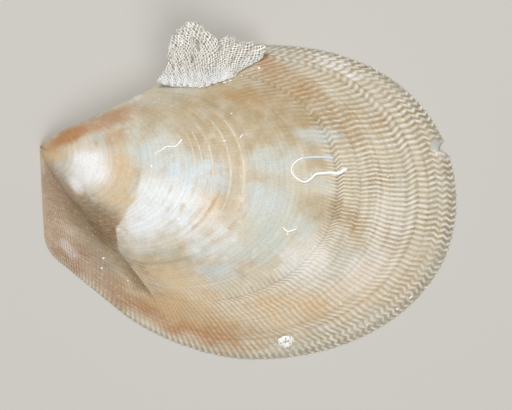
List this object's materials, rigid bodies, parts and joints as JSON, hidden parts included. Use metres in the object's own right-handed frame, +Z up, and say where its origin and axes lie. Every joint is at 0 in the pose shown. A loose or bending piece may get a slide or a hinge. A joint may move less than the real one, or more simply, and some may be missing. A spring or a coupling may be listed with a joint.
{
  "type": "fossil file clam shell",
  "caption": "One valve of a fossil file clam, domed and finely ribbed, lying on its rim, with lace coral fronds, worm tubes and a button colony grown on it.",
  "frame": {"origin": "under the middle of the whole thing's outline, in the plane that the valve's rim rests on", "axes": "+X from the beak towards the lower edge of the shell, +Y towards its front edge, +Z up, out of the domed outer face"},
  "size_m": [0.1252, 0.101, 0.0256],
  "materials": {
    "shell": "satin, ribs worn matt",
    "lace": "matt, porous",
    "button": "matt, porous",
    "worm_tube": "matt, chalky"
  },
  "bodies": {
    "root": {"valve": "shell", "lace_colony_tall_frond": "lace", "lace_colony_low_frond": "lace", "button_colony": "button", "worm_tube_large": "worm_tube", "worm_tube_small": "worm_tube", "worm_tube_crumb": "worm_tube"}
  },
  "joints": []
}
